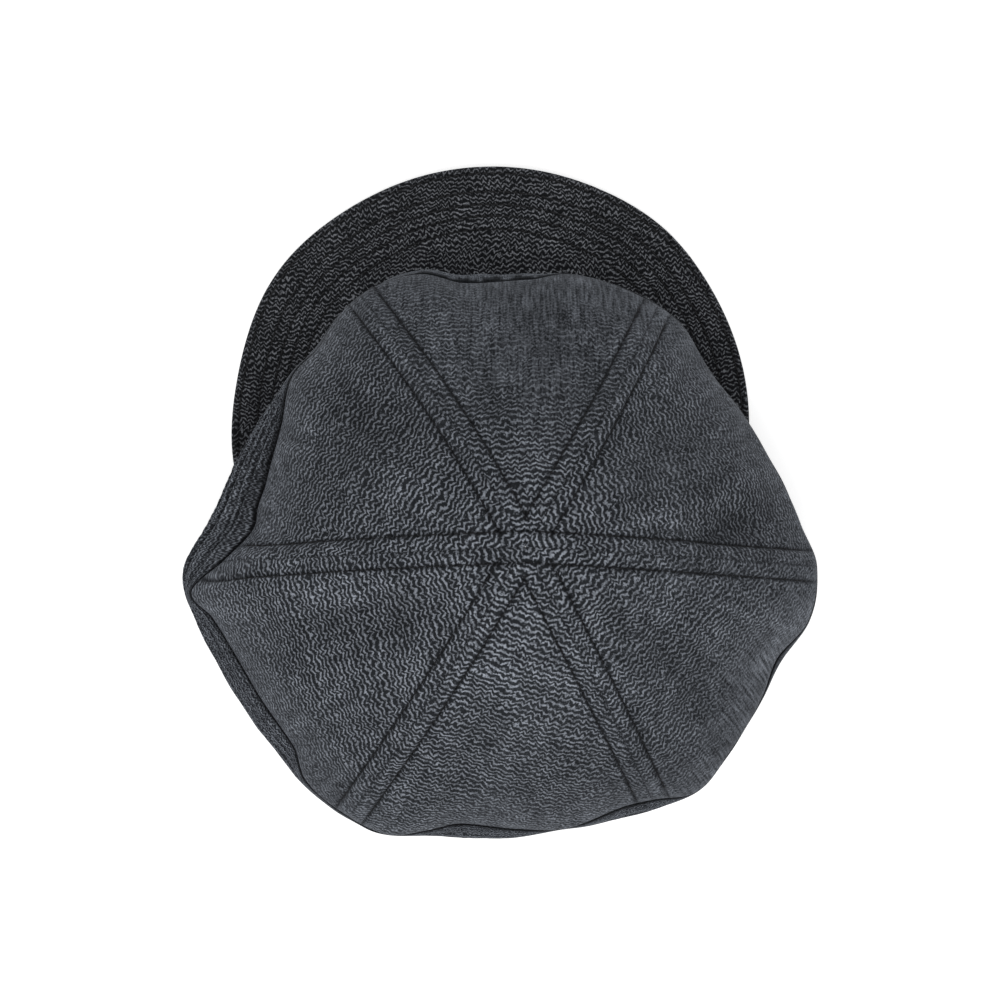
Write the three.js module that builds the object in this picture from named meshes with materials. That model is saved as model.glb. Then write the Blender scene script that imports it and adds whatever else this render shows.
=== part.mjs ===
// A cloth work cap at rest on a table: a puffed crown of six wedge panels, a side crown that
// turns under to the headband, a stitched headband and a short round peak.
// Millimetres, +Z up, the peak points to -Y and the wearer's left is +X.
import * as THREE from "three";

// Head opening and headband
const headWidth = 182;
const headLength = 188;
const bandWall = 2.4;
const bandHeight = 38;
const bandEdgeRound = 0.6;

// Crown cloth
const clothWall = 1.2;
const sideOverhang = 31.6;
const endOverhang = 15.1;
const apexToRight = 13;
const apexToBack = 1.2;
const rimRise = 17;
const domeRise = 49;
const domeShoulder = 2.2;
const domeRoll = 0.72;

// Seams of the crown: two rows of stitches, one each side of the join
const seamGap = 0.3;
const stitchOffset = 6.1;
const seamRidge = 0.7;
const seamSlope = 2.5;
const tipRadius = 1;

// Depth of the soft folds in the crown, how far the side crown swells past the rim, and the
// height of its widest point below the rim as a share of its height
const foldDepth = 5;
const sidePuff = 20;
const leastPuff = 0.4;
const widestDrop = 0.35;

// Peak
const peakDepth = 56.5;
const peakOutset = 12;
const peakWall = 3.6;
const peakEdge = 1.8;
const peakArch = 11;
const peakDroop = 3;
const peakLand = 6.5;
const peakEndWidth = 2.5;

// Clearance between pieces that are sewn to each other
const joinGap = 0.4;

// Loft steps
const panelColumns = 8;
const panelRows = 12;
const upperRows = 3;
const lowerRows = 5;
const bandColumns = 80;
const peakRows = 7;

const clothGrey = 0x474a4f;
const peakGrey = 0x2c2d30;

const turn = Math.PI * 2;
const radians = (degrees) => (degrees * Math.PI) / 180;
const mix = (a, b, share) => a + (b - a) * share;
const limit = (value, low, high) => Math.min(high, Math.max(low, value));
const ease = (value) => {
  const t = limit(value, 0, 1);
  return t * t * (3 - 2 * t);
};

// The six seams by their angle round the apex at the rim, how far the middle of each bows
// sideways, and the panel that runs on from each seam.
const seams = [
  { panel: "crown_panel_back_left", angle: 3.2, bow: -0.5 },
  { panel: "crown_panel_back", angle: 57, bow: 1.4 },
  { panel: "crown_panel_back_right", angle: 116.8, bow: 0.5 },
  { panel: "crown_panel_front_right", angle: 175.9, bow: 0.6 },
  { panel: "crown_panel_front", angle: 240.9, bow: -1.4 },
  { panel: "crown_panel_front_left", angle: 303.2, bow: -2.7 },
];

// Sections round the rim, by angle round the apex.
// reach: rim from the apex, as a share of the crown's half size in that direction
// rise: rim above the headband, as a share of rimRise
// puff: how far the side crown stands out past the rim, as a share of sidePuff
// fall: how much longer the top stays flat before it falls to the rim
const rimSections = [
  { angle: 3, reach: 0.955, rise: 1.05, puff: 0.8, fall: 0.1 },
  { angle: 8, reach: 1.068, rise: 0.95, puff: 0.17, fall: 0.1 },
  { angle: 13, reach: 1.022, rise: 0.92, puff: 0.28, fall: 0.1 },
  { angle: 20, reach: 0.997, rise: 0.9, puff: 0.38, fall: 0.2 },
  { angle: 28, reach: 0.995, rise: 0.88, puff: 0.38, fall: 0.3 },
  { angle: 41, reach: 1.022, rise: 0.9, puff: 0.32, fall: 0.2 },
  { angle: 47, reach: 1.085, rise: 0.9, puff: 0.12, fall: 0.2 },
  { angle: 56, reach: 1.112, rise: 0.92, puff: 0.08, fall: 0.1 },
  { angle: 65, reach: 1.115, rise: 0.95, puff: 0.02, fall: 0.1 },
  { angle: 71, reach: 1.06, rise: 0.95, puff: 0.13, fall: 0.3 },
  { angle: 77, reach: 1.01, rise: 0.9, puff: 0.3, fall: 0.4 },
  { angle: 88, reach: 1.008, rise: 0.9, puff: 0.2, fall: 0.5 },
  { angle: 98, reach: 1.016, rise: 0.9, puff: 0.04, fall: 0.5 },
  { angle: 110, reach: 0.981, rise: 0.95, puff: 0.24, fall: 0.3 },
  { angle: 117, reach: 0.992, rise: 1.0, puff: 0.22, fall: 0.1 },
  { angle: 125, reach: 1.032, rise: 0.95, puff: 0.03, fall: 0.1 },
  { angle: 135, reach: 0.98, rise: 0.9, puff: 0.03, fall: 0.2 },
  { angle: 148, reach: 0.925, rise: 0.85, puff: 0.04, fall: 0.5 },
  { angle: 156, reach: 0.897, rise: 0.85, puff: 0.12, fall: 0.6 },
  { angle: 165, reach: 0.938, rise: 0.95, puff: 0.04, fall: 0.3 },
  { angle: 176, reach: 0.928, rise: 1.0, puff: 0.02, fall: 0.1 },
  { angle: 184, reach: 0.88, rise: 1.0, puff: 0.02, fall: 0.3 },
  { angle: 199, reach: 0.836, rise: 0.9, puff: 0.02, fall: 0.7 },
  { angle: 212, reach: 0.835, rise: 0.9, puff: 0.02, fall: 0.8 },
  { angle: 223, reach: 0.852, rise: 0.95, puff: 0.02, fall: 0.7 },
  { angle: 237, reach: 0.935, rise: 1.05, puff: 0.02, fall: 0.5 },
  { angle: 252, reach: 0.963, rise: 1.0, puff: 0.02, fall: 0.8 },
  { angle: 261, reach: 0.968, rise: 1.0, puff: 0.02, fall: 1.0 },
  { angle: 269, reach: 0.938, rise: 0.95, puff: 0.13, fall: 1.1 },
  { angle: 283, reach: 0.945, rise: 0.95, puff: 0.19, fall: 1.1 },
  { angle: 291, reach: 1.012, rise: 1.0, puff: 0.1, fall: 0.8 },
  { angle: 301, reach: 1.028, rise: 1.1, puff: 0.02, fall: 0.5 },
  { angle: 310, reach: 0.997, rise: 1.1, puff: 0.02, fall: 0.5 },
  { angle: 316, reach: 0.955, rise: 1.15, puff: 0.06, fall: 0.6 },
  { angle: 324, reach: 0.945, rise: 1.2, puff: 0.08, fall: 0.7 },
  { angle: 334, reach: 0.875, rise: 1.3, puff: 0.45, fall: 0.8 },
  { angle: 346, reach: 0.845, rise: 1.3, puff: 0.75, fall: 0.6 },
  { angle: 357, reach: 0.862, rise: 1.2, puff: 0.97, fall: 0.3 },
];

// Soft folds in the crown's top. Each runs from one share of the rim's reach to another and
// swings from one angle to the other on the way. A depth below zero is a ridge.
const crownFolds = [
  { from: 0.35, to: 0.98, angleFrom: 319, angleTo: 327, halfWidth: 7, depth: 0.6 },
  { from: 0.35, to: 0.8, angleFrom: 334, angleTo: 336, halfWidth: 6, depth: -0.35 },
  { from: 0.45, to: 1.0, angleFrom: 183, angleTo: 189, halfWidth: 6, depth: 0.7 },
  { from: 0.4, to: 1.0, angleFrom: 146, angleTo: 137, halfWidth: 8, depth: 1.0 },
  { from: 0.3, to: 0.85, angleFrom: 33, angleTo: 24, halfWidth: 9, depth: 0.6 },
  { from: 0.35, to: 0.85, angleFrom: 284, angleTo: 283, halfWidth: 9, depth: 0.6 },
  { from: 0.4, to: 0.9, angleFrom: 254, angleTo: 252, halfWidth: 7, depth: 0.5 },
  { from: 0.5, to: 1.0, angleFrom: 76, angleTo: 74, halfWidth: 8, depth: 0.5 },
  { from: 0.4, to: 0.95, angleFrom: 212, angleTo: 214, halfWidth: 8, depth: 0.5 },
  { from: 0.2, to: 0.7, angleFrom: 94, angleTo: 94, halfWidth: 12, depth: -0.4 },
];

// The value of one column of a table of sections at any angle, on a smooth closed curve.
function around(table, column, degrees) {
  const angle = ((degrees % 360) + 360) % 360;
  const count = table.length;
  let next = table.findIndex((row) => row.angle > angle);
  if (next < 0) next = count;
  const at = (index) => {
    const lap = Math.floor(index / count);
    const row = table[index - lap * count];
    return { angle: row.angle + 360 * lap, value: row[column] };
  };
  const [before, start, end, after] = [next - 2, next - 1, next, next + 1].map(at);
  const span = end.angle - start.angle;
  const share = (angle - start.angle) / span;
  const startSlope = (span * (end.value - before.value)) / (end.angle - before.angle);
  const endSlope = (span * (after.value - start.value)) / (after.angle - start.angle);
  const s2 = share * share;
  const s3 = s2 * share;
  return (
    (2 * s3 - 3 * s2 + 1) * start.value +
    (s3 - 2 * s2 + share) * startSlope +
    (3 * s2 - 2 * s3) * end.value +
    (s3 - s2) * endSlope
  );
}

// Headband: an upright oval whose front is raised by the arch of the peak.
const bandHalfWidth = headWidth / 2 + bandWall;
const bandHalfLength = headLength / 2 + bandWall;

function bandPoint(angle, inset, height) {
  const x = (bandHalfWidth - inset) * Math.cos(angle);
  const y = (bandHalfLength - inset) * Math.sin(angle);
  return new THREE.Vector3(x, y, height);
}

function archLift(x, y) {
  const across = Math.min(Math.abs(x) / (bandHalfWidth + peakLand), 1);
  const front = ease(mix(1, 0, (y + bandHalfLength / 3) / (bandHalfLength / 2)));
  return 0.5 * peakArch * (1 + Math.cos(Math.PI * across)) * front;
}

const bandFoot = (angle) => {
  const foot = bandPoint(angle, 0, 0);
  return archLift(foot.x, foot.y);
};
const bandTop = (angle) => bandHeight + bandFoot(angle);

// Crown: the rim is where the top panels meet the side crown.
const crownHalfWidth = bandHalfWidth + sideOverhang;
const crownHalfLength = bandHalfLength + endOverhang;
const apex = new THREE.Vector3(-apexToRight, apexToBack, bandHeight + rimRise + domeRise);

function rimPoint(degrees) {
  const angle = radians(degrees);
  const c = Math.cos(angle);
  const s = Math.sin(angle);
  const half = 1 / Math.hypot(c / crownHalfWidth, s / crownHalfLength);
  const reach = half * around(rimSections, "reach", degrees);
  const x = apex.x + reach * c;
  const y = apex.y + reach * s;
  const foot = bandTop(Math.atan2(y, x));
  return new THREE.Vector3(x, y, foot + rimRise * around(rimSections, "rise", degrees));
}

const angleBetween = (a, b) => ((((a - b + 180) % 360) + 360) % 360) - 180;

function foldDrop(degrees, share) {
  let drop = 0;
  for (const fold of crownFolds) {
    const along = (share - fold.from) / (fold.to - fold.from);
    if (along <= 0 || along >= 1) continue;
    const middle = mix(fold.angleFrom, fold.angleTo, along);
    const off = angleBetween(degrees, middle) / fold.halfWidth;
    drop += fold.depth * foldDepth * Math.exp(-off * off) * Math.sin(Math.PI * along) ** 1.5;
  }
  return drop;
}

// Outer face of the crown's top with no seam ridges, at a share of the way from apex to rim.
function topPoint(degrees, share) {
  const rim = rimPoint(degrees);
  const shoulder = domeShoulder + around(rimSections, "fall", degrees);
  const height = Math.max(0, 1 - share ** shoulder) ** domeRoll;
  return new THREE.Vector3(
    mix(apex.x, rim.x, share),
    mix(apex.y, rim.y, share),
    mix(rim.z, apex.z, height) - foldDrop(degrees, share),
  );
}

function topNormal(degrees, share) {
  const near = Math.max(share - 0.004, 0.004);
  const far = Math.min(share + 0.004, 0.999);
  const outward = topPoint(degrees, far).sub(topPoint(degrees, near));
  const sideways = topPoint(degrees + 0.5, share).sub(topPoint(degrees - 0.5, share));
  return outward.cross(sideways).normalize();
}

// The side crown's section: it leaves the rim outwards, rounds over at its widest point and
// turns in to the top edge of the headband.
function sideSection(degrees) {
  const rim = rimPoint(degrees);
  const angle = Math.atan2(rim.y / bandHalfLength, rim.x / bandHalfWidth);
  const outward = new THREE.Vector3(Math.cos(angle), Math.sin(angle), 0);
  const foot = bandPoint(angle, (bandWall - clothWall) / 2, bandTop(angle) + joinGap);
  const start = rim.setZ(rim.z - joinGap);
  const rise = start.z - foot.z;
  const puff = Math.max(sidePuff * around(rimSections, "puff", degrees), leastPuff);
  const widest = start.clone().addScaledVector(outward, puff);
  widest.z -= widestDrop * rise;
  const reach = widest.clone().sub(foot).dot(outward);
  const over = start.clone().addScaledVector(outward, 0.55 * puff);
  const shoulder = widest.clone().setZ(mix(widest.z, start.z, 0.55));
  const under = widest.clone().setZ(widest.z - 0.35 * rise);
  const tuck = foot.clone().addScaledVector(outward, 0.4 * reach);
  tuck.z += 0.15 * rise;
  const upper = new THREE.CubicBezierCurve3(start, over, shoulder, widest);
  const lower = new THREE.CubicBezierCurve3(widest, under, tuck, foot);
  const across = new THREE.Vector3(-outward.y, outward.x, 0);
  const onCurve = (curve, share) => ({
    point: curve.getPoint(share),
    normal: curve.getTangent(share).cross(across).normalize(),
  });
  const rows = [];
  for (let j = 0; j <= upperRows; j++) rows.push(onCurve(upper, j / upperRows));
  for (let j = 1; j <= lowerRows; j++) rows.push(onCurve(lower, j / lowerRows));
  return { rows, outward };
}

// Direction of the mitre in which the walls of top and side crown meet at the rim.
function rimMitre(degrees) {
  const section = sideSection(degrees);
  const inward = section.outward.clone().add(section.rows[0].normal).normalize().negate();
  const length = clothWall / -inward.dot(section.outward);
  return inward.multiplyScalar(length);
}

// A closed wall between an outer and an inner face, given as columns of points.
// Columns run anticlockwise seen from above, and rows run outwards or down.
function wall(outer, inner, ring) {
  const columns = outer.length;
  const rows = outer[0].length;
  const positions = [...outer.flat(), ...inner.flat()].flatMap((p) => [p.x, p.y, p.z]);
  const index = [];
  const o = (i, j) => (i % columns) * rows + j;
  const n = (i, j) => o(i, j) + columns * rows;
  const quad = (a, b, c, d) => index.push(a, b, c, a, c, d);
  const last = ring ? columns : columns - 1;
  for (let i = 0; i < last; i++) {
    for (let j = 0; j < rows - 1; j++) {
      quad(o(i, j), o(i, j + 1), o(i + 1, j + 1), o(i + 1, j));
      quad(n(i, j), n(i + 1, j), n(i + 1, j + 1), n(i, j + 1));
    }
    quad(o(i, 0), o(i + 1, 0), n(i + 1, 0), n(i, 0));
    quad(o(i + 1, rows - 1), o(i, rows - 1), n(i, rows - 1), n(i + 1, rows - 1));
  }
  if (!ring) {
    for (let j = 0; j < rows - 1; j++) {
      quad(o(0, j + 1), o(0, j), n(0, j), n(0, j + 1));
      quad(o(last, j), o(last, j + 1), n(last, j + 1), n(last, j));
    }
  }
  const geometry = new THREE.BufferGeometry();
  geometry.setAttribute("position", new THREE.Float32BufferAttribute(positions, 3));
  geometry.setIndex(index);
  geometry.computeVertexNormals();
  return geometry;
}

const crownCloth = new THREE.MeshStandardMaterial({ color: clothGrey, roughness: 0.95 });
const peakCloth = new THREE.MeshStandardMaterial({ color: peakGrey, roughness: 0.95 });

function piece(name, geometry, material) {
  const mesh = new THREE.Mesh(geometry, material);
  mesh.name = name;
  return mesh;
}

// Columns of a panel at one radius: the join, the ridge, the stitch row and the slope beside
// each seam, and even steps over the cloth between.
function panelAngles(from, to, radius) {
  const span = to - from;
  const off = (distance, most) =>
    Math.min((Math.asin(Math.min(distance / radius, 1)) * 180) / Math.PI, span * most);
  const edge = off(seamGap / 2, 0.2);
  const ridge = off(stitchOffset / 2, 0.26);
  const stitch = off(stitchOffset, 0.32);
  const slope = off(stitchOffset + seamSlope, 0.38);
  const left = [
    { angle: from + edge, ridge: 0.3 },
    { angle: from + ridge, ridge: 1 },
    { angle: from + stitch, ridge: 0.4 },
  ];
  const middle = [];
  for (let k = 0; k <= panelColumns - 2; k++) {
    middle.push({ angle: mix(from + slope, to - slope, k / (panelColumns - 2)), ridge: 0 });
  }
  const right = [
    { angle: to - stitch, ridge: 0.4 },
    { angle: to - ridge, ridge: 1 },
    { angle: to - edge, ridge: 0.3 },
  ];
  return [...left, ...middle, ...right];
}

function rimRadius(degrees) {
  const rim = rimPoint(degrees);
  return Math.hypot(rim.x - apex.x, rim.y - apex.y);
}

// The angle of a seam at a share of the way from the apex to the rim.
function seamAngle(seam, share) {
  const aside = (seam.bow * Math.sin(Math.PI * share)) / (share * rimRadius(seam.angle));
  return seam.angle + (aside * 180) / Math.PI;
}

function panelSpan(k, share) {
  const last = k + 1 === seams.length;
  const next = seamAngle(seams[last ? 0 : k + 1], share);
  return [seamAngle(seams[k], share), last ? next + 360 : next];
}

// One wedge of the crown's top, from the apex to the rim.
function crownPanel(k) {
  const [rimFrom, rimTo] = panelSpan(k, 1);
  const middleRadius = rimRadius((rimFrom + rimTo) / 2);
  const outer = [];
  const inner = [];
  for (let j = 0; j <= panelRows; j++) {
    const tip = tipRadius / middleRadius;
    const share = mix(tip, 1, 1 - (1 - j / panelRows) ** 1.6);
    const [from, to] = panelSpan(k, share);
    panelAngles(from, to, share * middleRadius).forEach(({ angle, ridge }, i) => {
      const point = topPoint(angle, share);
      const normal = topNormal(angle, share);
      const ridgeShare = j === panelRows ? 0 : ridge;
      point.addScaledVector(normal, seamRidge * ridgeShare);
      const back = j === panelRows ? rimMitre(angle) : normal.clone();
      if (j < panelRows) back.multiplyScalar(-clothWall - seamRidge * ridgeShare);
      (outer[i] ??= []).push(point);
      (inner[i] ??= []).push(point.clone().add(back));
    });
  }
  return piece(seams[k].panel, wall(outer, inner, false), crownCloth);
}

// The side crown, whose columns are those of the panels at the rim.
function sideCrown() {
  const angles = seams.flatMap((seam, k) => {
    const [from, to] = panelSpan(k, 1);
    const columns = panelAngles(from, to, rimRadius((from + to) / 2)).slice(1, -1);
    return [from, ...columns.map((column) => column.angle)];
  });
  const outer = [];
  const inner = [];
  for (const angle of angles) {
    const { rows, outward } = sideSection(angle);
    outer.push(rows.map((row) => row.point));
    inner.push(
      rows.map(({ point, normal }, j) => {
        if (j === 0) return point.clone().add(rimMitre(angle));
        const back = j === upperRows + lowerRows ? outward : normal;
        return point.clone().addScaledVector(back, -clothWall);
      }),
    );
  }
  return piece("side_crown", wall(outer, inner, true), crownCloth);
}

// The headband: several layers stitched flat, with its edges turned in.
function headband() {
  const rows = [
    { height: 1, inset: bandEdgeRound },
    { height: 0.94, inset: 0 },
    { height: 0.5, inset: 0 },
    { height: 0.06, inset: 0 },
    { height: 0, inset: bandEdgeRound },
  ];
  const outer = [];
  const inner = [];
  for (let i = 0; i < bandColumns; i++) {
    const angle = (i / bandColumns) * turn;
    const at = (inset, height) =>
      bandPoint(angle, inset, mix(bandFoot(angle), bandTop(angle), height));
    outer.push(rows.map((row) => at(row.inset, row.height)));
    inner.push(rows.map((row) => at(bandWall - row.inset, row.height)));
  }
  return piece("headband", wall(outer, inner, true), crownCloth);
}

// The peak: a crescent between the front of the headband and a round outline.
function peak() {
  const radius = bandHalfWidth + peakOutset;
  const centreY = radius - (bandHalfLength + peakDepth);
  const outlineEnd = Math.acos((bandHalfWidth + peakEndWidth) / radius);
  const endY = centreY + radius * Math.sin(outlineEnd);
  const rootEnd = Math.asin(endY / bandHalfLength);
  const columns = bandColumns / 2;
  const outer = [];
  const inner = [];
  for (let i = 0; i <= columns; i++) {
    const swing = (2 * i) / columns - 1;
    const bandAngle = -Math.PI / 2 + swing * (Math.PI / 2 + rootEnd);
    const outlineAngle = -Math.PI / 2 + swing * (Math.PI / 2 + outlineEnd);
    const root = bandPoint(bandAngle, -joinGap, 0);
    const tip = new THREE.Vector3(
      radius * Math.cos(outlineAngle),
      centreY + radius * Math.sin(outlineAngle),
      0,
    );
    const top = [];
    const bottom = [];
    for (let j = 0; j <= peakRows; j++) {
      const share = j / peakRows;
      const round = ease((share - 0.8) / 0.2);
      const point = root.clone().lerp(tip, j === peakRows ? 1 : share * 0.985);
      const lift = archLift(point.x, Math.min(point.y, 0));
      const droop = (peakDroop * share * lift) / peakArch;
      const middle = lift - droop + peakWall / 2;
      const half = mix(peakWall, peakEdge, round) / 2;
      const floorHalf = Math.min(half, middle);
      top.push(point.clone().setZ(middle + half));
      bottom.push(point.clone().setZ(middle - floorHalf));
    }
    outer.push(top);
    inner.push(bottom);
  }
  return piece("peak", wall(outer, inner, false), peakCloth);
}

const cap = new THREE.Group();
seams.forEach((_, k) => cap.add(crownPanel(k)));
cap.add(sideCrown(), headband(), peak());

// The origin is the middle of the cap's footprint, on the table.
const box = new THREE.Box3().setFromObject(cap, true);
const middle = box.getCenter(new THREE.Vector3());
cap.position.set(-middle.x, -middle.y, -box.min.z);

export default cap;
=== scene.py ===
import math

import bmesh
import bpy
import numpy as np
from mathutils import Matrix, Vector


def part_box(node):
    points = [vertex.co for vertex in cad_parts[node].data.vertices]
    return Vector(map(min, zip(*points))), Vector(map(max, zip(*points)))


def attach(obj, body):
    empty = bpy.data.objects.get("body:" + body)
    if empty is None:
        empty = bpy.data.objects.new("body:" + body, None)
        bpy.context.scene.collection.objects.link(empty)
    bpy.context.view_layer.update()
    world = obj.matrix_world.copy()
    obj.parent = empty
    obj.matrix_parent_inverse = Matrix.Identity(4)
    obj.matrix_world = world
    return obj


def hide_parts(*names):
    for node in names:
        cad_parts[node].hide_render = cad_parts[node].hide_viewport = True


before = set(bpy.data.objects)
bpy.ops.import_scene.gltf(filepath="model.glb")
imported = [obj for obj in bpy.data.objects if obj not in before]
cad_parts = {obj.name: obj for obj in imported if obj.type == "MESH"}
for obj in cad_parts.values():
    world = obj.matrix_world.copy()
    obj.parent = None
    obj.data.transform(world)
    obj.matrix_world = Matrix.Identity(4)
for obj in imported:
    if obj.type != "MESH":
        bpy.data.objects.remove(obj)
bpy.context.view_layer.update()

# The headband is a flat ring of turned and stitched cloth that sits round the head. It carries
# the whole cap, and its front edge is lifted by the arch of the peak. A row of stitches near each
# edge holds its layers together and pulls a shallow groove into it.
band_low, band_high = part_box("headband")
band_centre = (band_low + band_high) / 2
band_half_width = (band_high.x - band_low.x) / 2
band_half_length = (band_high.y - band_low.y) / 2
band_wall = 0.0024
band_height = 0.038
band_arch = band_high.z - band_height
band_stitch_inset = 0.0045
band_turned_edge = 0.0007
band_groove = 0.0004
band_swell = 0.00025
band_ripple = 0.00012
band_fullness = 0.0002
arch_spread = 0.0065


def mix(a, b, share):
    return a + (b - a) * share


def ease(value):
    t = np.clip(value, 0, 1)
    return t * t * (3 - 2 * t)


def bump_at(distance, half_width):
    """A soft hump of height 1 at distance 0."""
    return np.exp(-((distance / half_width) ** 2))


def waves(x, y, length, seed):
    """Gentle uneven waves over a surface, about 1 high and of the given length."""
    rng = np.random.default_rng(seed)
    total = np.zeros(np.broadcast(x, y).shape)
    for _ in range(9):
        heading = rng.uniform(0, 2 * math.pi)
        turns = 2 * math.pi / (length * rng.uniform(0.7, 1.5))
        phase = rng.uniform(0, 2 * math.pi)
        total = total + np.sin(turns * (x * math.cos(heading) + y * math.sin(heading)) + phase)
    return total / 4


def arch_lift(x, y):
    """How far the arch of the peak lifts the band's lower edge, from the band's centre."""
    across = np.minimum(np.abs(x) / (band_half_width + arch_spread), 1)
    front = ease(1 - (y + band_half_length / 3) / (band_half_length / 2))
    return 0.5 * band_arch * (1 + np.cos(math.pi * across)) * front


def band_point(angle, inset, height):
    """A point on the band, from its centre: inset from the outer face, height as a share."""
    x = (band_half_width - inset) * np.cos(angle)
    y = (band_half_length - inset) * np.sin(angle)
    foot = arch_lift(band_half_width * np.cos(angle), band_half_length * np.sin(angle))
    return x, y, foot + band_height * height


def both_faces(outer, inner):
    """The outer face, the inner face and the four edges of a wall, from its two grids."""
    left = np.stack([outer[:, 0], inner[:, 0]], axis=1)
    right = np.stack([outer[:, -1], inner[:, -1]], axis=1)
    top = np.stack([outer[0], inner[0]])
    bottom = np.stack([outer[-1], inner[-1]])
    return [outer, inner, left, right, top, bottom]


def lay_on_cap(name, mesh, material, nodes):
    """Makes a mesh a piece of the cap, in place of the named solids."""
    mesh.shade_smooth()
    mesh.materials.append(material)
    piece = bpy.data.objects.new(name, mesh)
    bpy.context.scene.collection.objects.link(piece)
    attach(piece, "root")
    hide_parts(*nodes)


def new_piece(name, grids, weave, marks, wrap, material, nodes):
    """Joins grids of points into one piece of cloth.

    Each grid is an array of rows x columns x 3, in metres from the band's centre. For each grid,
    weave gives the points' places on the flat cloth in millimetres, and marks gives the numbers
    that the cloth's material reads. Neighbouring grids meet at equal points.
    """
    mesh = bpy.data.meshes.new(name)
    faces = []
    flat = []
    start = 0
    for grid, place in zip(grids, weave):
        rows, columns = grid.shape[:2]
        number = start + np.arange(rows * columns).reshape(rows, columns)
        start += rows * columns
        right = np.roll(number, -1, axis=1)
        ahead = np.roll(place, -1, axis=1)
        last = columns if wrap else columns - 1
        corners = [number[:-1, :last], number[1:, :last], right[1:, :last], right[:-1, :last]]
        faces.append(np.stack(corners, axis=-1).reshape(-1, 4))
        if wrap:
            ahead[:, -1] = place[:, -1] + (place[:, -1] - place[:, -2])
        uvs = [place[:-1, :last], place[1:, :last], ahead[1:, :last], ahead[:-1, :last]]
        flat.append(np.stack(uvs, axis=2).reshape(-1, 2))
    points = np.concatenate([grid.reshape(-1, 3) for grid in grids])
    shift = np.array([band_centre.x, band_centre.y, 0])
    mesh.from_pydata(points + shift, [], np.concatenate(faces).tolist())
    uv = mesh.uv_layers.new(name="weave")
    uv.data.foreach_set("uv", np.concatenate(flat).astype(np.float32).ravel())
    for mark, values in marks.items():
        layer = mesh.attributes.new(mark, "FLOAT", "POINT")
        every = np.concatenate([np.asarray(value, np.float32).ravel() for value in values])
        layer.data.foreach_set("value", every)
    weld = bmesh.new()
    weld.from_mesh(mesh)
    bmesh.ops.remove_doubles(weld, verts=weld.verts, dist=0.000004)
    bmesh.ops.recalc_face_normals(weld, faces=weld.faces)
    weld.to_mesh(mesh)
    weld.free()
    lay_on_cap(name, mesh, material, nodes)


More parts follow.
